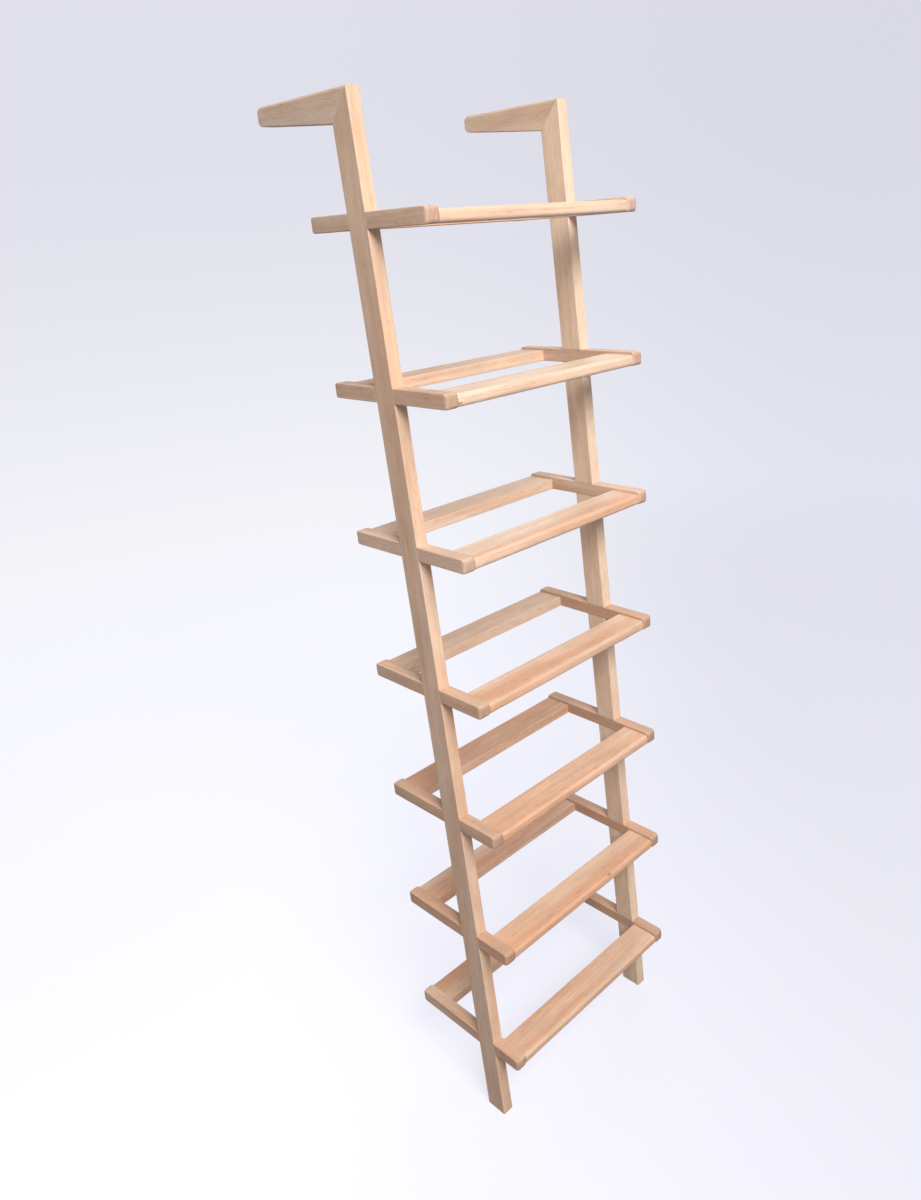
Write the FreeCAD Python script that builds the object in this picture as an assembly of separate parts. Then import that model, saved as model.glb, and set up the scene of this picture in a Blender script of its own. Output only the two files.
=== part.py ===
"""Ladder shelf of solid pine: two leaning uprights, mitred wall arms and seven open shelf frames.

Frame: +X to the right as seen from the front, +Y towards the wall, +Z up, millimetres.
The origin is on the floor, in the middle of the overall width and depth.
Shelves are counted from the top, so shelf_1 is the highest.
"""
import FreeCAD, Part
import math
import os

from FreeCAD import Vector

# ---- overall size -------------------------------------------------------------------------
overall_width = 414.0
overall_depth = 351.0
overall_height = 1700.0

# ---- uprights -----------------------------------------------------------------------------
board_thickness = 21.0        # thickness of uprights, arms and shelf bars, along X
upright_depth = 41.0          # width of an upright across its leaning faces
lean_angle = math.radians(2.7)
foot_setback = 53.0           # foot's front edge behind the bars' front ends
upright_edge_radius = 1.0
top_corner_radius = 4.0       # rounding along the top of the uprights and arms

# ---- wall arms ----------------------------------------------------------------------------
arm_root_height = 42.0        # at the inner corner of the mitre
arm_tip_height = 25.0         # at the wall
arm_tip_radius = 8.0
arm_edge_radius = 1.0

# ---- shelves ------------------------------------------------------------------------------
shelf_count = 7
lowest_shelf_top = 163.0      # top of the lowest pair of bars
shelf_pitch = 231.0
bar_length = 258.0
bar_height = 22.0
bar_end_radius = 6.0          # rounding of the bar ends seen from the side
bar_outer_corner_radius = 6.0  # rounding of the bar ends seen from above, outer corners
bar_inner_corner_radius = 4.5

slat_width = 56.0
slat_thickness = 18.0
slat_drop = 3.5               # slat tops lie this far below the bar tops
slat_setback = 1.5            # slat edge behind the ends of the bars
slat_nose_radius = 5.5        # the long edge that faces out of the shelf
slat_edge_radius = 1.5        # the long edge that faces into the shelf
slat_end_corner_radius = 3.0  # rounding of the outward corners seen from above

# ---- dowels -------------------------------------------------------------------------------
dowel_radius = 4.0
dowel_length = 30.0
dowel_depth_in_bar = 12.0
dowel_end_clearance = 1.0     # the holes are this much deeper than the dowel at each end
dowel_chamfer = 0.8
slat_dowel_spacing = 28.0
mitre_dowel_radius = 3.0
mitre_dowel_length = 22.0
mitre_dowel_spacing = 18.0

# ---- worked out from the above ------------------------------------------------------------
front_y = -overall_depth / 2
wall_y = overall_depth / 2
foot_front_y = front_y + foot_setback
upright_run_y = upright_depth / math.cos(lean_angle)   # an upright's width along Y
half_width = overall_width / 2
inner_half_width = half_width - board_thickness
cut_margin = 5.0              # how far cutting tools reach past the wood

SIDES = {"left": -1, "right": 1}
X_AXIS = 0
Y_AXIS = 1
Z_AXIS = 2
tolerance = 1e-6              # lengths closer than this count as equal


def leaning_front_y(z):
    """Y of the uprights' front faces at height z."""
    return foot_front_y + z * math.tan(lean_angle)


def shelf_top(shelf):
    """Height of the bar tops of a shelf, counted from 1 at the top."""
    return lowest_shelf_top + shelf_pitch * (shelf_count - shelf)


def side_span(side):
    """Lowest and highest X of the boards on one side."""
    outer = side * half_width
    inner = side * inner_half_width
    return min(outer, inner), max(outer, inner)


def extrude_across(points, x_low, x_high):
    """Prism along X with a straight-sided outline of (y, z) points."""
    outline = [Vector(x_low, y, z) for y, z in points]
    face = Part.Face(Part.makePolygon(outline + outline[:1]))
    return face.extrude(Vector(x_high - x_low, 0, 0))


def box_between(low, high):
    """Box from its lowest to its highest corner."""
    size = [top - bottom for bottom, top in zip(low, high)]
    return Part.makeBox(*size, Vector(*low))


def rod(centre, direction, radius, length):
    """Cylinder centred on a point."""
    axis = Vector(*direction).normalize()
    start = Vector(*centre) - axis * (length / 2)
    return Part.makeCylinder(radius, length, start, axis)


def edge_ends(edge):
    """The two end points of a straight edge."""
    return edge.Vertexes[0].Point, edge.Vertexes[-1].Point


def edges_along(shape, axis, level_axis, level):
    """Straight edges along one axis that lie at a given level on another axis."""
    chosen = []
    for edge in shape.Edges:
        start, end = edge_ends(edge)
        runs_along = abs(abs(end[axis] - start[axis]) - edge.Length) < tolerance
        if runs_along and abs(start[level_axis] - level) < tolerance:
            chosen.append(edge)
    return chosen


# ---- mitre between an upright and its arm -------------------------------------------------
mitre_top = (leaning_front_y(overall_height), overall_height)
mitre_bottom_z = overall_height - arm_root_height
mitre_bottom = (leaning_front_y(mitre_bottom_z) + upright_run_y, mitre_bottom_z)
mitre_run = Vector(0, mitre_bottom[0] - mitre_top[0], mitre_bottom[1] - mitre_top[1]).normalize()
mitre_normal = Vector(1, 0, 0).cross(mitre_run)


def upright_prism(x_low, x_high):
    """A leaning board with a level foot, cut at the top for the mitre."""
    outline = [
        (leaning_front_y(0), 0),
        (leaning_front_y(0) + upright_run_y, 0),
        mitre_bottom,
        mitre_top,
    ]
    return extrude_across(outline, x_low, x_high)


def arm_prism(x_low, x_high):
    """A level arm that tapers from below towards the wall."""
    outline = [
        mitre_top,
        mitre_bottom,
        (wall_y, overall_height - arm_tip_height),
        (wall_y, overall_height),
    ]
    return extrude_across(outline, x_low, x_high)


def rounded_top(side):
    """Envelope of one upright and its arm, with both long top edges rounded."""
    x_low, x_high = side_span(side)
    envelope = box_between((x_low, front_y, 0), (x_high, wall_y, overall_height))
    top_edges = edges_along(envelope, Y_AXIS, Z_AXIS, overall_height)
    return envelope.makeFillet(top_corner_radius, top_edges)


def mitre_dowel_centres(side):
    """Middle points of the dowels across one mitre."""
    middle_y = (mitre_top[0] + mitre_bottom[0]) / 2
    middle_z = (mitre_top[1] + mitre_bottom[1]) / 2
    middle = Vector(side * (half_width - board_thickness / 2), middle_y, middle_z)
    return [middle + mitre_run * (step * mitre_dowel_spacing / 2) for step in (-1, 1)]


def mitre_holes(side):
    """Cutting tools for the dowel holes of one mitre."""
    length = mitre_dowel_length + 2 * dowel_end_clearance
    centres = mitre_dowel_centres(side)
    return [rod(centre, mitre_normal, mitre_dowel_radius, length) for centre in centres]


# ---- slats and their dowels ---------------------------------------------------------------
def slat_span(row):
    """Lowest and highest Y of a front or back slat."""
    if row == "front":
        low = front_y + slat_setback
        return low, low + slat_width
    high = front_y + bar_length - slat_setback
    return high - slat_width, high


def slat_levels(shelf):
    """Bottom and top of a shelf's slats."""
    top = shelf_top(shelf) - slat_drop
    return top - slat_thickness, top


def slat_dowel_centres(shelf, row, side):
    """Middle points of the dowels in one end of one slat."""
    low_y, high_y = slat_span(row)
    low_z, high_z = slat_levels(shelf)
    reach = dowel_depth_in_bar - dowel_length / 2
    x = side * (inner_half_width + reach)
    middle_y = (low_y + high_y) / 2
    offset = slat_dowel_spacing / 2
    return [Vector(x, middle_y + step * offset, (low_z + high_z) / 2) for step in (-1, 1)]


def slat_dowel_holes(shelf, row, side):
    """Cutting tools for the dowel holes at one end of a slat."""
    length = dowel_length + 2 * dowel_end_clearance
    centres = slat_dowel_centres(shelf, row, side)
    return [rod(centre, (1, 0, 0), dowel_radius, length) for centre in centres]


def dowel(centre, direction, radius, length):
    """One dowel with chamfered ends."""
    pin = rod(centre, direction, radius, length)
    rims = [edge for edge in pin.Edges if isinstance(edge.Curve, Part.Circle)]
    return pin.makeChamfer(dowel_chamfer, rims)


# ---- the wooden pieces --------------------------------------------------------------------
def build_upright(side):
    """An upright, halved on its inner face where each shelf bar crosses it."""
    x_low, x_high = side_span(side)
    board = upright_prism(x_low, x_high)
    long_edges = [edge for edge in board.Edges if edge.Length > overall_height / 2]
    board = board.makeFillet(upright_edge_radius, long_edges)
    middle = side * (half_width - board_thickness / 2)
    past_inner = side * (inner_half_width - cut_margin)
    for shelf in range(1, shelf_count + 1):
        top = shelf_top(shelf)
        low = (min(middle, past_inner), front_y, top - bar_height)
        high = (max(middle, past_inner), wall_y, top)
        board = board.cut(box_between(low, high))
    return board.common(rounded_top(side)).cut(mitre_holes(side))


def build_arm(side):
    """A wall arm with rounded tip, mitred to the top of its upright."""
    x_low, x_high = side_span(side)
    board = arm_prism(x_low, x_high)
    tip_corners = edges_along(board, X_AXIS, Y_AXIS, wall_y)
    board = board.makeFillet(arm_tip_radius, tip_corners)
    arm_reach = wall_y - mitre_bottom[0]
    long_edges = [edge for edge in board.Edges if edge.Length > arm_reach / 2]
    underside = [edge for edge in long_edges if edge.CenterOfMass.z < overall_height - tolerance]
    board = board.makeFillet(arm_edge_radius, underside)
    return board.common(rounded_top(side)).cut(mitre_holes(side))


def bar_blank(shelf, side):
    """A bar before halving: rounded ends both in plan and from the side."""
    x_low, x_high = side_span(side)
    top = shelf_top(shelf)
    low = (x_low, front_y, top - bar_height)
    high = (x_high, front_y + bar_length, top)
    plan = box_between(low, high)
    outer_corners = edges_along(plan, Z_AXIS, X_AXIS, side * half_width)
    plan = plan.makeFillet(bar_outer_corner_radius, outer_corners)
    inner_corners = edges_along(plan, Z_AXIS, X_AXIS, side * inner_half_width)
    plan = plan.makeFillet(bar_inner_corner_radius, inner_corners)
    profile = box_between(low, high)
    for end_y in (low[Y_AXIS], high[Y_AXIS]):
        profile = profile.makeFillet(bar_end_radius, edges_along(profile, X_AXIS, Y_AXIS, end_y))
    return plan.common(profile)


def build_bar(shelf, side):
    """A shelf bar, halved on its outer face around the upright and drilled for the slats."""
    outer = side * (half_width + cut_margin)
    middle = side * (half_width - board_thickness / 2)
    upright = upright_prism(min(outer, middle), max(outer, middle))
    bar = bar_blank(shelf, side).cut(upright)
    for row in ("front", "back"):
        bar = bar.cut(slat_dowel_holes(shelf, row, side))
    return bar


def build_slat(shelf, row):
    """A slat between the bars, with a well rounded outward edge and rounded outward corners."""
    low_y, high_y = slat_span(row)
    low_z, high_z = slat_levels(shelf)
    low = (-inner_half_width, low_y, low_z)
    high = (inner_half_width, high_y, high_z)
    outward_y, inward_y = (low_y, high_y) if row == "front" else (high_y, low_y)
    profile = box_between(low, high)
    nose = edges_along(profile, X_AXIS, Y_AXIS, outward_y)
    profile = profile.makeFillet(slat_nose_radius, nose)
    inner_edges = edges_along(profile, X_AXIS, Y_AXIS, inward_y)
    profile = profile.makeFillet(slat_edge_radius, inner_edges)
    plan = box_between(low, high)
    outward_corners = edges_along(plan, Z_AXIS, Y_AXIS, outward_y)
    plan = plan.makeFillet(slat_end_corner_radius, outward_corners)
    board = plan.common(profile)
    for side in SIDES.values():
        board = board.cut(slat_dowel_holes(shelf, row, side))
    return board


def build_slat_dowels():
    """Every dowel between slats and bars."""
    pins = []
    for shelf in range(1, shelf_count + 1):
        for row in ("front", "back"):
            for side in SIDES.values():
                centres = slat_dowel_centres(shelf, row, side)
                pins += [dowel(centre, (1, 0, 0), dowel_radius, dowel_length) for centre in centres]
    return Part.makeCompound(pins)


def build_mitre_dowels():
    """The dowels that cross the two mitres."""
    pins = []
    for side in SIDES.values():
        for centre in mitre_dowel_centres(side):
            pins.append(dowel(centre, mitre_normal, mitre_dowel_radius, mitre_dowel_length))
    return Part.makeCompound(pins)


def build_all():
    """Every named piece of the shelf."""
    pieces = {}
    for name, side in SIDES.items():
        pieces[f"{name}_upright"] = build_upright(side)
        pieces[f"{name}_wall_arm"] = build_arm(side)
    for shelf in range(1, shelf_count + 1):
        for name, side in SIDES.items():
            pieces[f"shelf_{shelf}_{name}_bar"] = build_bar(shelf, side)
        for row in ("front", "back"):
            pieces[f"shelf_{shelf}_{row}_slat"] = build_slat(shelf, row)
    pieces["slat_dowels"] = build_slat_dowels()
    pieces["mitre_dowels"] = build_mitre_dowels()
    return pieces


os.makedirs("parts", exist_ok=True)
for node, shape in build_all().items():
    if not shape.isValid():
        raise ValueError(f"{node} is not a valid shape")
    shape.exportStep(f"parts/{node}.step")
    print(f"{node}: {len(shape.Solids)} solid(s), {shape.Volume / 1000:.1f} cm3")
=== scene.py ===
"""Looks of the ladder shelf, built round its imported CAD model.

Every wooden piece gets a finer mesh with eased edges, lightly uneven sanded faces and real dowel
holes, and a solid wood material that follows the piece's own place in its log.
Lengths are in metres, in the CAD frame: +X right, +Y towards the wall, +Z up.
"""
import math
import random

import bpy
import numpy as np
from mathutils import Matrix, Vector, noise


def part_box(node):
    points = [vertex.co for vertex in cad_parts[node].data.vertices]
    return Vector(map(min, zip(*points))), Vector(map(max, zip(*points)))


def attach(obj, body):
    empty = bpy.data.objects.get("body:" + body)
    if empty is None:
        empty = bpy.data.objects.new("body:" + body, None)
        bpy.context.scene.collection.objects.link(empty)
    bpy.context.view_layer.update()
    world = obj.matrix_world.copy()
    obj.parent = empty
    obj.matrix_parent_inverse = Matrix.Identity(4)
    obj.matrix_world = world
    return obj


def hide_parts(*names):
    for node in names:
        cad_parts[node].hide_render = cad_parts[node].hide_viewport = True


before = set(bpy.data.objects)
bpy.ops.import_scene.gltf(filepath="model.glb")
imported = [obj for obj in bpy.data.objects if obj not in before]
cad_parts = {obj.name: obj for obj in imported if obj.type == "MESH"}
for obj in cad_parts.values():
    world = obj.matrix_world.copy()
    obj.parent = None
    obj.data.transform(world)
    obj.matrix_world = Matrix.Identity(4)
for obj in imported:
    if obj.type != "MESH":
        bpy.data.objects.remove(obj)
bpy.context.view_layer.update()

MM = 0.001

# ---- shape, as in the CAD source ------------------------------------------------------------
LEAN_ANGLE = math.radians(2.7)
UPRIGHT_DEPTH = 41 * MM
ARM_ROOT_HEIGHT = 42 * MM
ARM_TIP_HEIGHT = 25 * MM
ARM_TIP_RADIUS = 8 * MM
TOP_CORNER_RADIUS = 4 * MM
BAR_END_RADIUS = 6 * MM
BAR_OUTER_CORNER_RADIUS = 6 * MM
BAR_INNER_CORNER_RADIUS = 4.5 * MM
SLAT_NOSE_RADIUS = 5.5 * MM
SLAT_EDGE_RADIUS = 1.5 * MM
SLAT_END_CORNER_RADIUS = 3 * MM
DOWEL_RADIUS = 4 * MM
DOWEL_LENGTH = 30 * MM
DOWEL_DEPTH_IN_BAR = 12 * MM
DOWEL_END_CLEARANCE = 1 * MM
DOWEL_CHAMFER = 0.8 * MM
SLAT_DOWEL_SPACING = 28 * MM
MITRE_DOWEL_RADIUS = 3 * MM
MITRE_DOWEL_LENGTH = 22 * MM
MITRE_DOWEL_SPACING = 18 * MM
SHELVES = range(1, 8)
SIDES = {"left": -1, "right": 1}
ACROSS = (1.0, 0.0, 0.0)
TO_THE_WALL = (0.0, 1.0, 0.0)
UPWARD = (0.0, 0.0, 1.0)

# ---- fine detail of the meshes --------------------------------------------------------------
EASED_EDGE = 1.1 * MM         # sanded long edges
JOINT_EASING = 0.3 * MM       # shoulders of the half laps
MITRE_EASING = 0.08 * MM
SLAT_END_EASING = 0.9 * MM    # leaves a fine groove between a slat's end and its bar
BAR_END_SOFTENING = 3.2 * MM  # extra rounding of a bar's long edges at its very ends
CRISP_EDGE = 0.2 * MM         # inside a half lap
FOOT_EASINGS = ((0.0, 0.7 * MM), (0.3 * MM, 0.25 * MM), (1.0 * MM, 0.0))   # height, inset
TOP_ZONE = 10 * MM            # the sections begin to slope towards the mitre this far below it
MITRE_SHARES = (0.3, 0.6, 0.84, 0.92, 0.94, 0.96, 0.98, 0.994)   # sections below the mitre's own
ARM_TIP_EASING = 2 * MM       # rounding of the arm tips seen from above
# sections near the boards' ends, in millimetres from the end
ARM_TIP_STATIONS = (8, 6, 4, 2.5, 1.4, 0.6, 0.15, 0)
BAR_END_STATIONS = (0, 0.1, 0.45, 1.1, 2, 3.2, 4.6, 6, 8)
SLAT_END_STATIONS = (0, 0.15, 0.5, 1.1, 2, 3)
LAP_MARGIN = 3 * MM           # no extra sections this close to a half lap
STATION_PITCH = 14 * MM       # spacing of the sections along a board
SANDING_DEPTH = 0.16 * MM     # how far hand sanding dips below the true face
SANDING_LENGTH = 55 * MM      # size of those dips
SANDED_SHARE = 0.5            # of the sanding depth, on average
SANDING_SWING = 0.9
SANDING_OFFSET = 50           # how far apart two boards can lie in the noise, in dip sizes
CORNER_SEGMENTS = 4
NARROW_SIDE = (0.12, 0.37, 0.63, 0.88)       # extra points along a section's sides, as shares
WIDE_SIDE = (0.03, 0.065, 0.11, 0.3, 0.5, 0.7, 0.89, 0.935, 0.97)
LARGEST_CORNER = 0.48         # a section's corner radius, at most, as a share of its shorter side
SMOOTH_UP_TO = math.radians(38)              # sharper edges than this stay crisp
FLUTES = 12                   # along each dowel; holes get twice as many sides
FLUTE_DEPTH = 0.25 * MM

upright_low, upright_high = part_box("left_upright")
arm_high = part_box("left_wall_arm")[1]
lean = math.tan(LEAN_ANGLE)
upright_run = UPRIGHT_DEPTH / math.cos(LEAN_ANGLE)
thickness = upright_high.x - upright_low.x
half_width = -upright_low.x
inner_half_width = half_width - thickness
board_middle = half_width - thickness / 2
foot_front_y = upright_low.y
top_z = arm_high.z
wall_y = arm_high.y
mitre_low_z = top_z - ARM_ROOT_HEIGHT


def front_y_at(z):
    """Y of the uprights' leaning front faces at height z."""
    return foot_front_y + z * lean


def side_span(side):
    """Lowest and highest X of the boards on one side."""
    ends = (side * half_width, side * inner_half_width)
    return min(ends), max(ends)


def arc_inset(radius, distance):
    """How far a rounding with this radius pulls in, this far from its end."""
    if distance >= radius:
        return 0.0
    return radius - math.sqrt(radius ** 2 - (radius - distance) ** 2)


# ---- boards as stacks of rounded sections ---------------------------------------------------
def rounded_section(low_u, high_u, low_v, high_v, radii, steps_u, steps_v):
    """Points round a rectangle with four corner radii, counterclockwise from its lowest corner.

    steps_u and steps_v say where, between two corners, the sides have extra points.
    """
    room = min(high_u - low_u, high_v - low_v) * LARGEST_CORNER
    first, second, third, fourth = (min(radius, room) for radius in radii)
    corners = (
        (low_u + first, low_v + first, first, math.pi, steps_u),
        (high_u - second, low_v + second, second, 1.5 * math.pi, steps_v),
        (high_u - third, high_v - third, third, 0.0, steps_u),
        (low_u + fourth, high_v - fourth, fourth, 0.5 * math.pi, steps_v),
    )
    arcs = []
    for centre_u, centre_v, radius, start, _ in corners:
        turns = [start + math.pi / 2 * step / CORNER_SEGMENTS for step in range(CORNER_SEGMENTS + 1)]
        arcs.append([(centre_u + radius * math.cos(a), centre_v + radius * math.sin(a)) for a in turns])
    points = []
    for index, (arc, corner) in enumerate(zip(arcs, corners)):
        from_u, from_v = arc[-1]
        to_u, to_v = arcs[(index + 1) % len(arcs)][0]
        points += arc
        points += [(from_u + (to_u - from_u) * step, from_v + (to_v - from_v) * step) for step in corner[-1]]
    return np.array(points)


def even_steps(start, end):
    """Evenly spaced stations strictly between two ends."""
    count = max(1, round((end - start) / STATION_PITCH))
    return [start + (end - start) * step / count for step in range(1, count)]


def loft(name, rings):
    """A closed mesh through rings of points, with flat ends."""
    size = len(rings[0])
    points = np.concatenate(rings)
    faces = [tuple(range(size)), tuple(range(len(points) - size, len(points)))[::-1]]
    for ring in range(len(rings) - 1):
        base = ring * size
        for step in range(size):
            after = (step + 1) % size
            faces.append((base + step, base + size + step, base + size + after, base + after))
    mesh = bpy.data.meshes.new(name)
    mesh.from_pydata(points.tolist(), [], faces)
    if signed_volume(mesh) < 0:
        mesh.flip_normals()
    mesh.validate()
    return mesh


def signed_volume(mesh):
    """Volume enclosed by a mesh, negative if its faces point inwards."""
    mesh.calc_loop_triangles()
    total = 0.0
    for triangle in mesh.loop_triangles:
        a, b, c = (mesh.vertices[index].co for index in triangle.vertices)
        total += a.dot(b.cross(c))
    return total / 6


def rod_mesh(name, rods, sides, chamfer=0.0, flute_depth=0.0):
    """Round pins in one mesh. rods holds (centre, direction, radius, length)."""
    points, faces = [], []
    for centre, direction, radius, length in rods:
        turn = Vector(UPWARD).rotation_difference(Vector(direction)).to_matrix()
        rings = [(-length / 2, radius - chamfer), (length / 2, radius - chamfer)]
        if chamfer:
            rings = [rings[0], (chamfer - length / 2, radius), (length / 2 - chamfer, radius), rings[1]]
        start = len(points)
        for height, reach in rings:
            for step in range(sides):
                angle = 2 * math.pi * step / sides
                fluted = reach - flute_depth * (step % 2)
                local = Vector((fluted * math.cos(angle), fluted * math.sin(angle), height))
                points.append(Vector(centre) + turn @ local)
        last = start + (len(rings) - 1) * sides
        faces.append(tuple(range(start, start + sides))[::-1])
        faces.append(tuple(range(last, last + sides)))
        for ring in range(len(rings) - 1):
            base = start + ring * sides
            for step in range(sides):
                after = (step + 1) % sides
                faces.append((base + step, base + after, base + sides + after, base + sides + step))
    mesh = bpy.data.meshes.new(name)
    mesh.from_pydata(points, [], faces)
    return mesh


def sand(mesh, seed):
    """Lets the faces dip very slightly and unevenly, always inwards."""
    offset = Vector([seed.uniform(0, SANDING_OFFSET) for _ in range(3)])
    moves = []
    for vertex in mesh.vertices:
        height = noise.noise(vertex.co / SANDING_LENGTH + offset)
        share = min(1.0, max(0.0, SANDED_SHARE + SANDING_SWING * height))
        moves.append(vertex.normal * (-SANDING_DEPTH * share))
    for vertex, move in zip(mesh.vertices, moves):
        vertex.co += move


def drill(mesh, name, rods):
    """The mesh with round holes cut into it."""
    board = bpy.data.objects.new(name + "_blank", mesh)
    cutter = bpy.data.objects.new(name + "_drill", rod_mesh(name + "_drill", rods, 2 * FLUTES))
    for thing in (board, cutter):
        bpy.context.scene.collection.objects.link(thing)
    cut = board.modifiers.new("holes", "BOOLEAN")
    cut.operation = "DIFFERENCE"
    cut.solver = "EXACT"
    cut.object = cutter
    bpy.context.view_layer.update()
    graph = bpy.context.evaluated_depsgraph_get()
    drilled = bpy.data.meshes.new_from_object(board.evaluated_get(graph))
    for thing in (board, cutter):
        bpy.data.objects.remove(thing)
    drilled.name = name
    return drilled


# ---- dowels ---------------------------------------------------------------------------------
mitre_top = Vector((0, front_y_at(top_z), top_z))
mitre_bottom = Vector((0, front_y_at(mitre_low_z) + upright_run, mitre_low_z))
mitre_run = (mitre_bottom - mitre_top).normalized()
mitre_normal = Vector(ACROSS).cross(mitre_run)


def mitre_rods(side, extra=0.0):
    """The dowels across one mitre, or their longer holes."""
    middle = (mitre_top + mitre_bottom) / 2
    middle.x = side * board_middle
    centres = [middle + mitre_run * (step * MITRE_DOWEL_SPACING / 2) for step in (-1, 1)]
    length = MITRE_DOWEL_LENGTH + extra
    return [(centre, mitre_normal, MITRE_DOWEL_RADIUS, length) for centre in centres]


def slat_rods(shelf, row, side, extra=0.0):
    """The dowels in one end of a slat, or their longer holes."""
    low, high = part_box(f"shelf_{shelf}_{row}_slat")
    middle = (low + high) / 2
    middle.x = side * (inner_half_width + DOWEL_DEPTH_IN_BAR - DOWEL_LENGTH / 2)
    apart = Vector((0, SLAT_DOWEL_SPACING / 2, 0))
    length = DOWEL_LENGTH + extra
    return [(middle + apart * step, Vector(ACROSS), DOWEL_RADIUS, length) for step in (-1, 1)]


hole_extra = 2 * DOWEL_END_CLEARANCE


# ---- the boards -----------------------------------------------------------------------------
def squeeze_top(points, side):
    """Pulls a board's sides in along its rounded top."""
    middle = side * board_middle
    for point in points:
        pull = arc_inset(TOP_CORNER_RADIUS, top_z - point[2])
        point[0] = middle + (point[0] - middle) * (1 - pull / (thickness / 2))
    return points


def upright_mesh(side):
    """A leaning upright: level foot, half laps on its inner face, mitre at the top."""
    outer, inner, middle = side * half_width, side * inner_half_width, side * board_middle
    last_level = mitre_low_z - TOP_ZONE
    stations = [(z, inner, inset) for z, inset in FOOT_EASINGS]
    here = stations[-1][0]
    for shelf in reversed(SHELVES):
        low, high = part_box(f"shelf_{shelf}_left_bar")
        eased = inner + side * JOINT_EASING
        stations += [(z, inner, 0.0) for z in even_steps(here, low.z - JOINT_EASING)]
        stations += [(low.z - JOINT_EASING, inner, 0.0), (low.z, eased, 0.0), (low.z, middle, 0.0)]
        stations += [((low.z + high.z) / 2, middle, 0.0), (high.z, middle, 0.0)]
        stations += [(high.z, eased, 0.0), (high.z + JOINT_EASING, inner, 0.0)]
        here = high.z + JOINT_EASING
    stations += [(z, inner, 0.0) for z in even_steps(here, last_level)] + [(last_level, inner, 0.0)]
    rings = []

    def section(inner_x, inset):
        low_x, high_x = min(outer, inner_x), max(outer, inner_x)
        soft, crisp = EASED_EDGE, CRISP_EDGE if inner_x == middle else EASED_EDGE
        radii = (soft, crisp, crisp, soft) if side < 0 else (crisp, soft, soft, crisp)
        return rounded_section(
            low_x + inset, high_x - inset, inset, upright_run - inset, radii, NARROW_SIDE, WIDE_SIDE
        )

    for z, inner_x, inset in stations:
        rings.append(np.array([(x, front_y_at(z) + v, z) for x, v in section(inner_x, inset)]))
    for share, inset in [(share, 0.0) for share in MITRE_SHARES] + [(1.0, MITRE_EASING)]:
        ring = []
        for x, v in section(inner, inset):
            mitre_z = top_z - ARM_ROOT_HEIGHT * v / upright_run
            z = last_level + share * (mitre_z - last_level)
            ring.append((x, front_y_at(z) + v, z))
        rings.append(squeeze_top(np.array(ring), side))
    return loft("upright", rings)


def arm_mesh(side):
    """A wall arm: mitred root, taper from below, rounded tip."""
    low_x, high_x = side_span(side)
    reach = wall_y - mitre_bottom.y
    stations = [(0.0, MITRE_EASING), (MITRE_EASING, 0.0)]
    stations += [(d, 0.0) for d in even_steps(MITRE_EASING, reach - ARM_TIP_RADIUS)]
    stations += [(reach - d * MM, arc_inset(ARM_TIP_EASING, d * MM)) for d in ARM_TIP_STATIONS]
    rings = []
    for distance, inset in stations:
        share = distance / reach
        height = ARM_ROOT_HEIGHT + share * (ARM_TIP_HEIGHT - ARM_ROOT_HEIGHT)
        tip = arc_inset(ARM_TIP_RADIUS, reach - distance)
        radii = (EASED_EDGE, EASED_EDGE, TOP_CORNER_RADIUS, TOP_CORNER_RADIUS)
        inset_v = inset if distance < reach / 2 else tip
        section = rounded_section(
            low_x + inset, high_x - inset, inset_v, height - inset_v, radii, NARROW_SIDE, WIDE_SIDE
        )
        ring = []
        for x, v in section:
            root_y = mitre_bottom.y + (mitre_top.y - mitre_bottom.y) * v / height
            ring.append((x, root_y + share * (wall_y - root_y), top_z - height + v))
        rings.append(np.array(ring))
    return loft("arm", rings)


def bar_mesh(node, side):
    """A shelf bar: rounded ends and a half lap round the upright on its outer face."""
    low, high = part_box(node)
    outer, inner, middle = side * half_width, side * inner_half_width, side * board_middle
    middle_z = (low.z + high.z) / 2
    lap_start = front_y_at(middle_z)
    lap_end = lap_start + upright_run
    eased = outer - side * JOINT_EASING
    ends = [d * MM for d in BAR_END_STATIONS]
    stations = [(low.y + d, outer, 0) for d in ends]
    stations += [(y, outer, 0) for y in even_steps(stations[-1][0], lap_start - LAP_MARGIN)]
    stations += [(lap_start - JOINT_EASING, outer, 1), (lap_start, eased, 1), (lap_start, middle, 1)]
    stations += [(y, middle, 1) for y in even_steps(lap_start, lap_end)]
    stations += [(lap_end, middle, 1), (lap_end, eased, 1), (lap_end + JOINT_EASING, outer, 1)]
    stations += [(y, outer, 0) for y in even_steps(lap_end + LAP_MARGIN, high.y - ends[-1])]
    stations += [(high.y - d, outer, 0) for d in reversed(ends)]
    rings = []
    for y, outer_x, slanted in stations:
        distance = min(y - low.y, high.y - y)
        outer_in = side * arc_inset(BAR_OUTER_CORNER_RADIUS, distance)
        inner_in = side * arc_inset(BAR_INNER_CORNER_RADIUS, distance)
        edges = sorted((outer_x - outer_in, inner + inner_in))
        inset = arc_inset(BAR_END_RADIUS, distance)
        near_end = max(0.0, 1 - distance / ends[-1])
        soft = EASED_EDGE + BAR_END_SOFTENING * near_end
        crisp = CRISP_EDGE if outer_x == middle else soft
        radii = (crisp, soft, soft, crisp) if side < 0 else (soft, crisp, crisp, soft)
        section = rounded_section(
            edges[0], edges[1], low.z + inset, high.z - inset, radii, NARROW_SIDE, NARROW_SIDE
        )
        rings.append(np.array([(x, y + slanted * (z - middle_z) * lean, z) for x, z in section]))
    return loft(node, rings)


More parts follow.
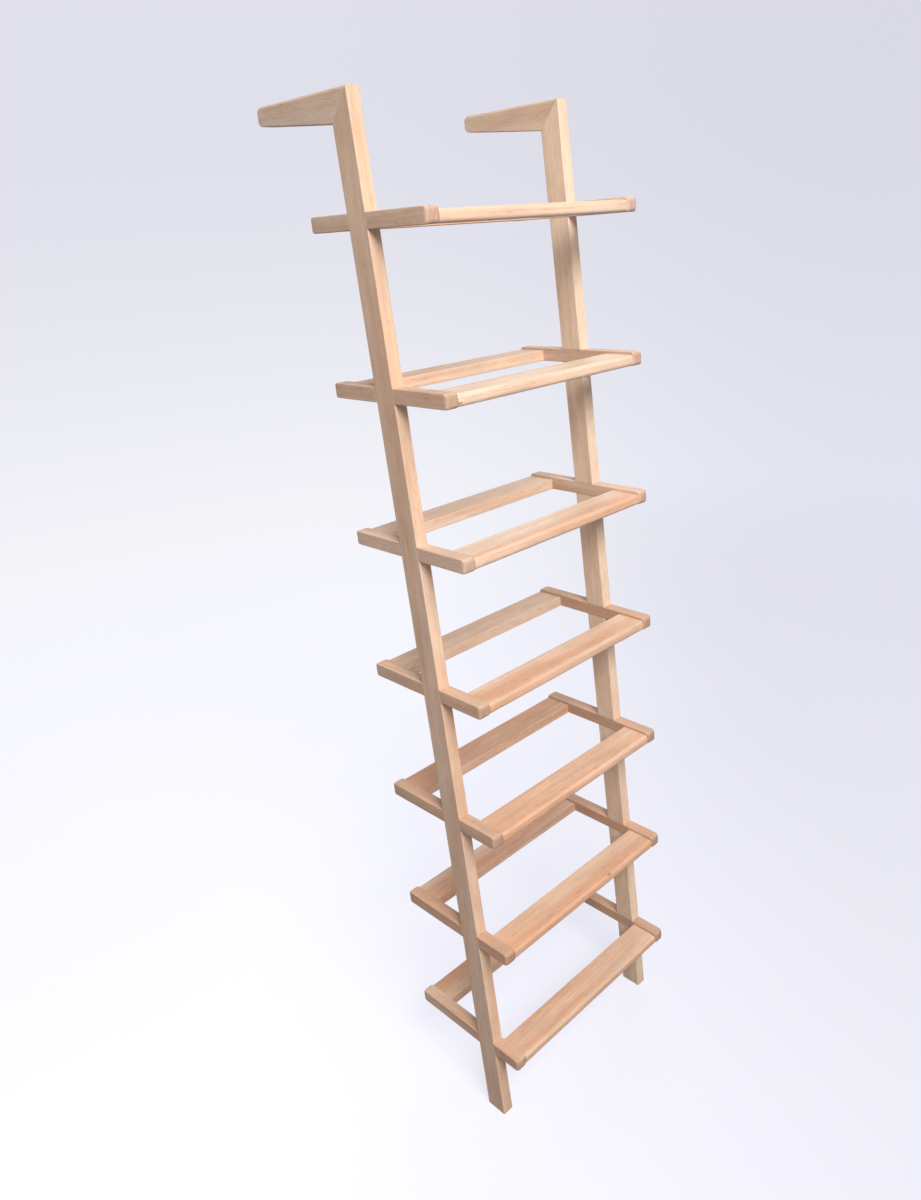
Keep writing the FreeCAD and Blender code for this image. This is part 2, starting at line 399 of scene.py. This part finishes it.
def slat_mesh(node, row):
    """A slat with a well rounded outward edge and eased ends."""
    low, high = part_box(node)
    nose, edge = SLAT_NOSE_RADIUS, SLAT_EDGE_RADIUS
    radii = (nose, edge, edge, nose) if row == "front" else (edge, nose, nose, edge)
    ends = [d * MM for d in SLAT_END_STATIONS]
    stations = [low.x + d for d in ends]
    stations += even_steps(stations[-1], high.x - ends[-1])
    stations += [high.x - d for d in reversed(ends)]
    rings = []
    for x in stations:
        distance = min(x - low.x, high.x - x)
        inset = arc_inset(SLAT_END_EASING, distance)
        corner = arc_inset(SLAT_END_CORNER_RADIUS, distance)
        front_inset, back_inset = (corner, inset) if row == "front" else (inset, corner)
        section = rounded_section(
            low.y + front_inset, high.y - back_inset, low.z + inset, high.z - inset,
            radii, WIDE_SIDE, NARROW_SIDE
        )
        rings.append(np.array([(x, y, z) for y, z in section]))
    return loft(node, rings)


# ---- where each board sat in its log --------------------------------------------------------
PITH_DISTANCE = (35, 110)     # least and most, in millimetres from the board's middle
PITH_TILT = 0.022             # steepest slope of the pith against the board
TRUNK_LENGTH = 40             # metres of trunk that a board can come from
HEART_REACH = (-30, 18)       # millimetres past the board's middle to which the heart can reach
END_FACING = (0.35, 0.85)     # how far a face looks along the grain: end grain begins, is full
EDGE_FACING = (0.985, 0.785)  # how far a face looks along one axis: rounding begins, is full
FAR_AWAY = ((9.0, 9.0, 9.0),)


def read_vertices(mesh, key):
    """A row of three numbers for each vertex."""
    values = np.zeros(len(mesh.vertices) * 3)
    mesh.vertices.foreach_get(key, values)
    return values.reshape(-1, 3)


def ramp(values, start, end):
    """Goes from 0 to 1 while the values go from start to end."""
    return np.clip((values - start) / (end - start), 0, 1)


def write_attribute(mesh, name, kind, values):
    """Stores one value for each vertex."""
    layer = mesh.attributes.new(name, kind, "POINT")
    key = "vector" if kind == "FLOAT_VECTOR" else "value"
    layer.data.foreach_set(key, np.asarray(values, np.float32).ravel())


def place_in_log(mesh, along, seed, warmth, knot=None, heart_reach=None):
    """Writes the attributes that the wood material reads.

    log is each point's place in the tree, with the pith along its Z; end is 1 on end grain;
    edge is 1 on rounded edges; warmth and tone are the board's colour, on the uprights partly
    painted light; heart is how far the darker heartwood reaches from the pith, before its soft
    edge; knot is where a pin knot or a painted shadow spot sits on the board, far
    away when there is none.
    """
    count = len(mesh.vertices)
    points = read_vertices(mesh, "co")
    centre = (points.min(0) + points.max(0)) / 2
    thin_way = UPWARD if along == ACROSS else ACROSS
    board_axes = np.stack((thin_way, np.cross(along, thin_way), along))
    turn = seed.uniform(0, 2 * math.pi)
    pith = seed.uniform(*PITH_DISTANCE) * MM
    tilt = [seed.uniform(-PITH_TILT, PITH_TILT) for _ in range(2)]
    shift = seed.uniform(0, TRUNK_LENGTH)
    spin = np.array(((math.cos(turn), -math.sin(turn)), (math.sin(turn), math.cos(turn))))

    def to_log(places):
        board = (places - centre) @ board_axes.T
        cross = board[:, :2] @ spin.T
        cross[:, 0] += pith + tilt[0] * board[:, 2]
        cross[:, 1] += tilt[1] * board[:, 2]
        return np.column_stack((cross, board[:, 2] + shift))

    write_attribute(mesh, "log", "FLOAT_VECTOR", to_log(points))
    facing = np.abs(read_vertices(mesh, "normal") @ board_axes.T)
    write_attribute(mesh, "end", "FLOAT", ramp(facing[:, 2], *END_FACING))
    write_attribute(mesh, "edge", "FLOAT", ramp(facing.max(1), *EDGE_FACING))
    write_attribute(mesh, "warmth", "FLOAT", np.full(count, warmth))
    write_attribute(mesh, "tone", "FLOAT", np.full(count, seed.uniform(-1, 1)))
    reach = seed.uniform(*HEART_REACH) * MM if heart_reach is None else heart_reach
    write_attribute(mesh, "heart", "FLOAT", np.full(count, pith + reach))
    spot = FAR_AWAY if knot is None else to_log(np.array((knot,)))
    write_attribute(mesh, "knot", "FLOAT_VECTOR", np.repeat(spot, count, 0))


# ---- materials ------------------------------------------------------------------------------
# how many noise features lie in one metre: twice across the trunk, then along it
SLOW_WAVE = (14, 14, 1.8)
SMALL_WAVE = (70, 70, 6.0)
RING_PATCHES = (35, 35, 3.0)
BROAD_CHANGES = (26, 26, 3.2)
BLOTCHES = (38, 38, 13.0)
FIBRES = (1500, 1500, 28)
LINES = (420, 420, 6.5)
PORES = (900, 900, 55)
STREAKS = (150.0, 30.0, 2.4)          # outwards from the pith, sideways and along the trunk

SLOW_WAVE_SIZE = 14 * MM              # how far the rings waver
SMALL_WAVE_SIZE = 1.6 * MM
LATE_WOOD_START = 0.45                # shares of a year's ring
LATE_WOOD_FULL = 0.90
LATE_WOOD_END = 0.94
KNOT_STRETCH = (1.0, 1.0, 0.45)       # a knot pulls on the rings further along the trunk
KNOT_REACH = 10 * MM
KNOT_PULL = 5 * MM
KNOT_AND_SHADOW_RIM = 3.4 * MM
KNOT_AND_SHADOW_CORE = 1.4 * MM
HEART_EDGE = (8.5 * MM, 5.5 * MM)     # past the heart's reach: colour begins, is full
MOST_NOISE = (0.3, 0.7)               # nearly all of the noise lies between these
RING_BY_YEAR = (0.3, 1.0)             # how strongly rings show, weakest and strongest
RING_BY_PLACE = (0.45, 1.0)

# how much each of these moves a board's colour from pale to deep
HEART_WARMTH = 0.34
STREAK_WARMTH = 0.19
BROAD_WARMTH = 0.22

LATE_WOOD_TINT = (0.82, 0.71, 0.61)
FIBRE_TINT = (0.84, 0.75, 0.66)
FIBRE_SHADE = (0.45, 0.72, 0.0, 0.30)   # noise where the tint begins and is full, both strengths
LINE_SHADE = (0.48, 0.75, 0.0, 0.38)
PORE_TINT = (0.72, 0.60, 0.50)
PORE_NOISE = (0.66, 0.76)
PORE_STRENGTH = 0.55
BLOTCH_NOISE = (0.25, 0.75)
BLOTCH_RANGE = (0.93, 1.06)           # brightness
TONE_RANGE = 0.03                     # brightness from board to board
END_STRENGTH = 0.9
# rounded edges a touch paler: partly sanding wear, partly a painted highlight
WORN_EDGE_AND_HIGHLIGHT_COLOUR = (0.80, 0.62, 0.47)
WORN_EDGE_AND_HIGHLIGHT_SHARE = 0.10
# red-brown of a pin knot, also used for the painted shadow spot
KNOT_AND_SHADOW_COLOUR = (0.42, 0.17, 0.09)
KNOT_AND_SHADOW_STRENGTH = 0.7

# the sanded surface: how far each stands up or down, and what makes it rougher or smoother
RELIEF_DEPTH = 0.35 * MM
RELIEF_STRENGTH = 0.35
RING_RELIEF = 0.5
FIBRE_RELIEF = 0.6
LINE_RELIEF = 0.5
PORE_RELIEF = 0.5
FIBRE_ROUGHNESS = (-0.05, 0.08)
END_ROUGHNESS = 0.16
RING_SMOOTHNESS = 0.07


class Tree:
    """Adds nodes to a material or world."""

    def __init__(self, owner):
        owner.use_nodes = True
        self.nodes = owner.node_tree.nodes
        self.links = owner.node_tree.links
        self.nodes.clear()

    def add(self, kind, inputs=(), **settings):
        """A node; inputs pairs a socket's name or number with a value or another node's socket."""
        made = self.nodes.new(kind)
        for name, value in settings.items():
            setattr(made, name, value)
        for name, value in dict(inputs).items():
            if isinstance(value, bpy.types.NodeSocket):
                self.links.new(value, made.inputs[name])
            else:
                made.inputs[name].default_value = value
        return made

    def attribute(self, name, output="Fac"):
        return self.add("ShaderNodeAttribute", attribute_name=name).outputs[output]

    def math(self, operation, a, b=0.0, clamp=False):
        return self.add("ShaderNodeMath", {0: a, 1: b}, operation=operation, use_clamp=clamp).outputs[0]

    def plus(self, a, b):
        return self.math("ADD", a, b)

    def times(self, a, b):
        return self.math("MULTIPLY", a, b)

    def length(self, vector):
        return self.add("ShaderNodeVectorMath", {0: vector}, operation="LENGTH").outputs["Value"]

    def along(self, vector, direction):
        """How far a vector reaches in a direction."""
        node = self.add("ShaderNodeVectorMath", {0: vector, 1: direction}, operation="DOT_PRODUCT")
        return node.outputs["Value"]

    def scaled(self, vector, factors):
        return self.add("ShaderNodeVectorMath", {0: vector, 1: factors}, operation="MULTIPLY").outputs[0]

    def noise(self, vector, detail=2.0, roughness=0.5):
        """Smooth noise from 0 to 1 with features about one unit of the vector wide."""
        inputs = {"Vector": vector, "Scale": 1.0, "Detail": detail, "Roughness": roughness}
        return self.add("ShaderNodeTexNoise", inputs).outputs["Fac"]

    def spread(self, value, low, high, out_low=0.0, out_high=1.0, smooth=True):
        """Maps low..high to out_low..out_high and holds the ends."""
        inputs = {"Value": value, "From Min": low, "From Max": high, "To Min": out_low, "To Max": out_high}
        shape = "SMOOTHSTEP" if smooth else "LINEAR"
        return self.add("ShaderNodeMapRange", inputs, interpolation_type=shape).outputs["Result"]

    def mix(self, share, a, b, blend="MIX"):
        """Goes from colour a to colour b, or to their blend, as the share goes from 0 to 1."""
        node = self.add("ShaderNodeMix", data_type="RGBA", blend_type=blend)
        # the sockets for the share and the two colours; those between are for other kinds of data
        for socket, value in zip((node.inputs[0], node.inputs[6], node.inputs[7]), (share, a, b)):
            if isinstance(value, bpy.types.NodeSocket):
                self.links.new(value, socket)
            else:
                socket.default_value = value if socket == node.inputs[0] else (*value, 1.0)
        return node.outputs[2]

    def tint(self, share, colour, factors):
        """A colour, partly multiplied by factors for its red, green and blue."""
        return self.mix(share, colour, self.mix(1.0, colour, factors, "MULTIPLY"))


def wood_material(name, pale, deep, ring_width, ring_contrast, end_shade, roughness):
    """Solid wood: rings, streaks, fibres, darker end grain, edges paler by wear and painted highlight."""
    material = bpy.data.materials.new(name)
    tree = Tree(material)
    log = tree.attribute("log", "Vector")
    end = tree.attribute("end")
    edge = tree.attribute("edge")

    # distance from the pith, wavering along the trunk and bending round a knot
    apart = tree.add("ShaderNodeSeparateXYZ", {0: log})
    across = tree.add("ShaderNodeCombineXYZ", {0: apart.outputs[0], 1: apart.outputs[1]}).outputs[0]
    knot = tree.attribute("knot", "Vector")
    from_knot = tree.add("ShaderNodeVectorMath", {0: log, 1: knot}, operation="SUBTRACT").outputs[0]
    knot_distance = tree.length(tree.scaled(from_knot, KNOT_STRETCH))
    knot_pull = tree.spread(knot_distance, 0.0, KNOT_REACH, KNOT_PULL, 0.0)
    slow_wave = tree.times(tree.noise(tree.scaled(log, SLOW_WAVE)), SLOW_WAVE_SIZE)
    small_wave = tree.times(tree.noise(tree.scaled(log, SMALL_WAVE)), SMALL_WAVE_SIZE)
    wavering = tree.plus(slow_wave, small_wave)
    ring_place = tree.plus(tree.plus(tree.length(across), wavering), knot_pull)

    # each year's ring ends in a darker line, stronger in some years and places
    year = tree.math("DIVIDE", ring_place, ring_width)
    season = tree.math("FRACT", year)
    darkening = tree.spread(season, LATE_WOOD_START, LATE_WOOD_FULL)
    late = tree.times(darkening, tree.spread(season, 1.0, LATE_WOOD_END))
    year_number = tree.add("ShaderNodeCombineXYZ", {0: tree.math("FLOOR", year)}).outputs[0]
    by_year = tree.spread(tree.noise(year_number, detail=0.0), *MOST_NOISE, *RING_BY_YEAR)
    patches = tree.noise(tree.scaled(log, RING_PATCHES), detail=1.0)
    by_place = tree.spread(patches, *MOST_NOISE, *RING_BY_PLACE)
    ring = tree.times(late, tree.times(by_year, by_place))

    # soft coloured streaks that run with the grain, slow changes along the board, heartwood
    outwards, sideways, along = STREAKS
    streak_place = tree.add("ShaderNodeCombineXYZ", {
        0: tree.times(ring_place, outwards),
        1: tree.times(apart.outputs[1], sideways),
        2: tree.times(apart.outputs[2], along),
    }).outputs[0]
    streak = tree.noise(streak_place, detail=3.0, roughness=0.6)
    broad = tree.noise(tree.scaled(log, BROAD_CHANGES))
    past_heart = tree.math("SUBTRACT", ring_place, tree.attribute("heart"))
    heartwood = tree.spread(past_heart, *HEART_EDGE)
    by_streak = tree.spread(streak, *MOST_NOISE, -STREAK_WARMTH, STREAK_WARMTH)
    by_broad = tree.spread(broad, *MOST_NOISE, -BROAD_WARMTH, BROAD_WARMTH)
    warm = tree.plus(tree.plus(tree.attribute("warmth"), by_streak), by_broad)
    warm = tree.math("ADD", warm, tree.times(heartwood, HEART_WARMTH), clamp=True)
    base = tree.mix(warm, pale, deep)
    base = tree.tint(tree.times(ring, ring_contrast), base, LATE_WOOD_TINT)

    # fine fibres, longer lines and short dark pores
    fibre = tree.noise(tree.scaled(log, FIBRES), detail=3.0, roughness=0.65)
    line = tree.noise(tree.scaled(log, LINES), roughness=0.6)
    base = tree.tint(tree.spread(fibre, *FIBRE_SHADE), base, FIBRE_TINT)
    base = tree.tint(tree.spread(line, *LINE_SHADE), base, FIBRE_TINT)
    pore = tree.noise(tree.scaled(log, PORES), detail=0.0)
    pore = tree.times(tree.spread(pore, *PORE_NOISE), tree.math("SUBTRACT", 1.0, end))
    base = tree.tint(tree.times(pore, PORE_STRENGTH), base, PORE_TINT)
    blotch = tree.noise(tree.scaled(log, BLOTCHES), detail=3.0, roughness=0.55)
    own_tone = tree.times(tree.attribute("tone"), TONE_RANGE)
    bright = tree.plus(tree.spread(blotch, *BLOTCH_NOISE, *BLOTCH_RANGE), own_tone)
    base = tree.add("ShaderNodeHueSaturation", {"Value": bright, "Color": base}).outputs["Color"]

    # end grain takes in more light; edges are a touch paler, partly sanded and partly a painted highlight; a
    # knot, and the painted shadow spot drawn like one, is red-brown
    base = tree.tint(tree.times(end, END_STRENGTH), base, end_shade)
    base = tree.mix(tree.times(edge, WORN_EDGE_AND_HIGHLIGHT_SHARE), base, WORN_EDGE_AND_HIGHLIGHT_COLOUR)
    knot_share = tree.spread(knot_distance, KNOT_AND_SHADOW_RIM, KNOT_AND_SHADOW_CORE, 0.0, KNOT_AND_SHADOW_STRENGTH)
    base = tree.mix(knot_share, base, KNOT_AND_SHADOW_COLOUR)

    # sanded surface: rings stand a little proud, fibres are fuzzy, end grain is rougher
    height = tree.plus(tree.times(ring, RING_RELIEF), tree.times(fibre, FIBRE_RELIEF))
    height = tree.plus(height, tree.times(line, LINE_RELIEF))
    height = tree.math("SUBTRACT", height, tree.times(pore, PORE_RELIEF))
    bump = tree.add("ShaderNodeBump", {
        "Height": height, "Strength": RELIEF_STRENGTH, "Distance": RELIEF_DEPTH
    })
    least, most = [roughness + change for change in FIBRE_ROUGHNESS]
    rough = tree.spread(fibre, *MOST_NOISE, least, most)
    rough = tree.plus(rough, tree.times(end, END_ROUGHNESS))
    rough = tree.math("SUBTRACT", rough, tree.times(ring, RING_SMOOTHNESS), clamp=True)
    shader = tree.add("ShaderNodeBsdfPrincipled", {
        "Base Color": base,
        "Roughness": rough,
        "Normal": bump.outputs[0],
        "IOR": 1.46,
        "Specular IOR Level": 0.42,
    })
    tree.add("ShaderNodeOutputMaterial", {0: shader.outputs[0]})
    return material


WOODS = {
    "upright_pine": {
        "pale": (0.825, 0.625, 0.465), "deep": (0.685, 0.43, 0.285),
        "ring_width": 2.3 * MM, "ring_contrast": 0.52,
        "end_shade": (0.74, 0.70, 0.68), "roughness": 0.52,
    },
    "arm_pine": {
        "pale": (0.79, 0.605, 0.46), "deep": (0.67, 0.435, 0.305),
        "ring_width": 2.1 * MM, "ring_contrast": 0.50,
        "end_shade": (0.74, 0.70, 0.69), "roughness": 0.52,
    },
    "bar_pine": {
        "pale": (0.78, 0.58, 0.44), "deep": (0.635, 0.392, 0.258),
        "ring_width": 2.0 * MM, "ring_contrast": 0.54,
        "end_shade": (0.70, 0.68, 0.72), "roughness": 0.54,
    },
    "slat_pine": {
        "pale": (0.83, 0.65, 0.50), "deep": (0.715, 0.405, 0.252),
        "ring_width": 2.4 * MM, "ring_contrast": 0.62,
        "end_shade": (0.72, 0.67, 0.64), "roughness": 0.50,
    },
    "dowel_beech": {
        "pale": (0.72, 0.52, 0.36), "deep": (0.62, 0.40, 0.26),
        "ring_width": 1.8 * MM, "ring_contrast": 0.35,
        "end_shade": (0.80, 0.72, 0.66), "roughness": 0.55,
    },
}
materials = {slot: wood_material(slot, **wood) for slot, wood in WOODS.items()}


# ---- making the pieces ----------------------------------------------------------------------
# warmth runs from 0, the wood's pale colour, to 1, its deep colour
# the right upright is paler than the left partly as painted light, for the stronger light on its front
UPRIGHT_WARMTH_AND_PAINTED_LIGHT = {"left": 0.56, "right": 0.06}
ARM_WARMTH = {"left": 0.32, "right": 0.08}
DOWEL_WARMTH = 0.5
# one for each shelf, from the top
BAR_WARMTH = (0.30, 0.38, 0.50, 0.80, 0.90, 0.84, 0.60)
SLAT_WARMTH = (0.32, 0.18, 0.30, 0.50, 0.66, 0.64, 0.58)
FRONT_SLAT_HEART = (-6 * MM, 0.0, -4 * MM, 2 * MM, 4 * MM, 3 * MM, 0.0)
# pin knots, and a painted shadow spot: x, then shares of the board's width from its front and of its height
KNOT_AND_SHADOW_SPOTS = {
    # painted shadow: a dark spot in the corner between the slat's left end and its bar
    "shelf_2_front_slat": (-184.5 * MM, 0.0, 0.3),
    "shelf_6_front_slat": (60 * MM, 0.04, 0.92),
}


def finish_piece(mesh, node, slot, along, warmth, **log_details):
    """Turns a mesh into a shown piece that stands for its CAD node."""
    place_in_log(mesh, along, random.Random(node + "_log"), warmth, **log_details)
    mesh.shade_smooth()
    mesh.set_sharp_from_angle(angle=SMOOTH_UP_TO)
    mesh.materials.clear()
    mesh.materials.append(materials[slot])
    piece = bpy.data.objects.new(node + "_wood", mesh)
    bpy.context.scene.collection.objects.link(piece)
    weighted = piece.modifiers.new("flat faces", "WEIGHTED_NORMAL")
    weighted.keep_sharp = True
    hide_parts(node)
    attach(piece, "root")


def make_board(mesh, node, slot, along, warmth, holes, **log_details):
    """Sands and drills a board, then shows it."""
    sand(mesh, random.Random(node))
    finish_piece(drill(mesh, node, holes), node, slot, along, warmth, **log_details)


def make_side(side_name, side):
    """The upright and the wall arm of one side."""
    holes = mitre_rods(side, hole_extra)
    up = (0.0, math.sin(LEAN_ANGLE), math.cos(LEAN_ANGLE))
    upright = f"{side_name}_upright"
    make_board(upright_mesh(side), upright, "upright_pine", up, UPRIGHT_WARMTH_AND_PAINTED_LIGHT[side_name], holes)
    arm = f"{side_name}_wall_arm"
    make_board(arm_mesh(side), arm, "arm_pine", TO_THE_WALL, ARM_WARMTH[side_name], holes)


def make_bar(shelf, side_name, side):
    """One side bar of a shelf."""
    node = f"shelf_{shelf}_{side_name}_bar"
    holes = slat_rods(shelf, "front", side, hole_extra) + slat_rods(shelf, "back", side, hole_extra)
    make_board(bar_mesh(node, side), node, "bar_pine", TO_THE_WALL, BAR_WARMTH[shelf - 1], holes)


def knot_place(node):
    """Where a slat's pin knot or painted shadow spot is, if it has one."""
    if node not in KNOT_AND_SHADOW_SPOTS:
        return None
    low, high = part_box(node)
    x, share_y, share_z = KNOT_AND_SHADOW_SPOTS[node]
    return x, low.y + share_y * (high.y - low.y), low.z + share_z * (high.z - low.z)


def make_slat(shelf, row):
    """One slat of a shelf."""
    node = f"shelf_{shelf}_{row}_slat"
    holes = slat_rods(shelf, row, -1, hole_extra) + slat_rods(shelf, row, 1, hole_extra)
    heart_reach = FRONT_SLAT_HEART[shelf - 1] if row == "front" else None
    make_board(
        slat_mesh(node, row), node, "slat_pine", ACROSS, SLAT_WARMTH[shelf - 1], holes,
        knot=knot_place(node), heart_reach=heart_reach
    )


for side_name, side in SIDES.items():
    make_side(side_name, side)
for shelf in SHELVES:
    for side_name, side in SIDES.items():
        make_bar(shelf, side_name, side)
    for row in ("front", "back"):
        make_slat(shelf, row)

slat_pins = []
for shelf in SHELVES:
    for row in ("front", "back"):
        for side in SIDES.values():
            slat_pins += slat_rods(shelf, row, side)
mitre_pins = mitre_rods(SIDES["left"]) + mitre_rods(SIDES["right"])
for node, rods, along in (
    ("slat_dowels", slat_pins, ACROSS),
    ("mitre_dowels", mitre_pins, tuple(mitre_normal)),
):
    pins = rod_mesh(node, rods, 2 * FLUTES, DOWEL_CHAMFER, FLUTE_DEPTH)
    finish_piece(pins, node, "dowel_beech", along, DOWEL_WARMTH)


# ---- floor, light and camera ----------------------------------------------------------------
RIGHTWARD = (0.70, -0.71, 0.0)        # level, to the right in the picture
FLOOR_RADIUS = 9.0
FLOOR_SIDES = 96
FLOOR_COLOURS = ((0.835, 0.835, 0.925), (0.875, 0.875, 0.955))
FLOOR_CLOUDS = (0.9, 0.9, 0.9)        # how many patches of those colours lie in one metre
FLOOR_DIFFUSE = (0.30, 0.30, 0.30)    # the rest of the floor's brightness is a painted glow, seen only by the camera
FLOOR_RIGHTNESS = (-0.7, 0.9)         # metres along RIGHTWARD
FLOOR_PAINTED_GLOW = (0.90, 0.655)            # left, right: painted light, brighter towards the left
FLOOR_FADE = (0.9, 4.5)               # metres from the shelf
SKY_RIGHTNESS = (-0.25, 0.35)         # the view's direction along RIGHTWARD
SKY_HEIGHT = (-0.47, 0.15)
LOW_SKY = ((0.96, 0.96, 0.995), (0.80, 0.80, 0.91))      # left, right
HIGH_SKY = ((0.745, 0.745, 0.83), (0.70, 0.70, 0.79))
FILL_COLOUR = (0.90, 0.93, 1.0, 1.0)
FILL_STRENGTH = 0.335

CAMERA_PLACE = (-0.9817, -1.1097, 1.5126)
CAMERA_YAW = math.radians(45.4)
CAMERA_PITCH = math.radians(-19.77)
CAMERA_ROLL = math.radians(-4.15)
CAMERA_LENS = 27.69                   # millimetres, on a sensor 36 mm wide
SENSOR_WIDTH = 36.0
CAMERA_SHIFT = (-0.0760, -0.0331)


def make_floor():
    """A pale floor that fades into the background far from the shelf; most of its brightness is a painted
    glow, stronger on the left.
    """
    turns = [2 * math.pi * step / FLOOR_SIDES for step in range(FLOOR_SIDES)]
    rim = [(FLOOR_RADIUS * math.cos(a), FLOOR_RADIUS * math.sin(a), 0) for a in turns]
    mesh = bpy.data.meshes.new("floor")
    mesh.from_pydata(rim, [], [tuple(range(FLOOR_SIDES))])
    material = bpy.data.materials.new("floor")
    tree = Tree(material)
    place = tree.add("ShaderNodeTexCoord").outputs["Object"]
    cloud = tree.noise(tree.scaled(place, FLOOR_CLOUDS))
    pale = tree.mix(cloud, *FLOOR_COLOURS)
    lit = tree.add("ShaderNodeBsdfDiffuse", {"Color": tree.mix(1.0, pale, FLOOR_DIFFUSE, "MULTIPLY")})
    rightness = tree.spread(tree.along(place, RIGHTWARD), *FLOOR_RIGHTNESS)
    strength = tree.spread(rightness, 0.0, 1.0, *FLOOR_PAINTED_GLOW, smooth=False)
    seen = tree.add("ShaderNodeLightPath").outputs["Is Camera Ray"]
    painted_glow = tree.add("ShaderNodeEmission", {"Color": pale, "Strength": tree.times(seen, strength)})
    solid = tree.add("ShaderNodeAddShader", {0: lit.outputs[0], 1: painted_glow.outputs[0]})
    clear = tree.add("ShaderNodeBsdfTransparent")
    fade = tree.spread(tree.length(place), *FLOOR_FADE)
    shader = tree.add("ShaderNodeMixShader", {0: fade, 1: solid.outputs[0], 2: clear.outputs[0]})
    tree.add("ShaderNodeOutputMaterial", {0: shader.outputs[0]})
    mesh.materials.append(material)
    floor = bpy.data.objects.new("floor", mesh)
    bpy.context.scene.collection.objects.link(floor)


def make_world():
    """A plain lavender-white background that also fills the shadows softly."""
    world = bpy.data.worlds.new("studio")
    bpy.context.scene.world = world
    tree = Tree(world)
    direction = tree.add("ShaderNodeTexCoord").outputs["Generated"]
    height = tree.add("ShaderNodeSeparateXYZ", {0: direction}).outputs[2]
    rightness = tree.spread(tree.along(direction, RIGHTWARD), *SKY_RIGHTNESS)
    low_colour = tree.mix(rightness, *LOW_SKY)
    high_colour = tree.mix(rightness, *HIGH_SKY)
    seen_colour = tree.mix(tree.spread(height, *SKY_HEIGHT), low_colour, high_colour)
    seen = tree.add("ShaderNodeBackground", {"Color": seen_colour, "Strength": 1.0})
    fill = tree.add("ShaderNodeBackground", {"Color": FILL_COLOUR, "Strength": FILL_STRENGTH})
    camera_ray = tree.add("ShaderNodeLightPath").outputs["Is Camera Ray"]
    both = tree.add("ShaderNodeMixShader", {0: camera_ray, 1: fill.outputs[0], 2: seen.outputs[0]})
    tree.add("ShaderNodeOutputWorld", {0: both.outputs[0]})


def make_light(name, place, target, size, power, colour):
    """A square softbox that points at a spot."""
    lamp = bpy.data.lights.new(name, "AREA")
    lamp.shape = "SQUARE"
    lamp.size = size
    lamp.energy = power
    lamp.color = colour
    thing = bpy.data.objects.new(name, lamp)
    thing.location = place
    thing.rotation_euler = (Vector(target) - Vector(place)).to_track_quat("-Z", "Y").to_euler()
    bpy.context.scene.collection.objects.link(thing)


def make_camera():
    """The camera, to the left in front of the piece, about level with its highest shelf."""
    data = bpy.data.cameras.new("camera")
    data.lens = CAMERA_LENS
    data.sensor_width = SENSOR_WIDTH
    data.shift_x, data.shift_y = CAMERA_SHIFT
    level_reach = math.cos(CAMERA_PITCH)
    ahead = Vector((
        math.sin(CAMERA_YAW) * level_reach, math.cos(CAMERA_YAW) * level_reach, math.sin(CAMERA_PITCH)
    ))
    level = Vector((math.cos(CAMERA_YAW), -math.sin(CAMERA_YAW), 0.0))
    upward = level.cross(ahead)
    right = math.cos(CAMERA_ROLL) * level + math.sin(CAMERA_ROLL) * upward
    above = math.cos(CAMERA_ROLL) * upward - math.sin(CAMERA_ROLL) * level
    place = Matrix((right, above, -ahead)).transposed().to_4x4()
    place.translation = Vector(CAMERA_PLACE)
    camera = bpy.data.objects.new("camera", data)
    camera.matrix_world = place
    bpy.context.scene.collection.objects.link(camera)
    bpy.context.scene.camera = camera


make_floor()
make_world()
make_light(
    "key", place=(-1.09, -2.74, 3.33), target=(0.0, 0.0, 0.95), size=1.7, power=175.0,
    colour=(1.0, 0.98, 0.965)
)
make_light(
    "fill", place=(2.0, 1.2, 2.2), target=(0.0, 0.0, 1.0), size=1.6, power=14.0,
    colour=(1.0, 0.985, 0.98)
)
make_camera()
bpy.context.scene.view_settings.view_transform = "Standard"
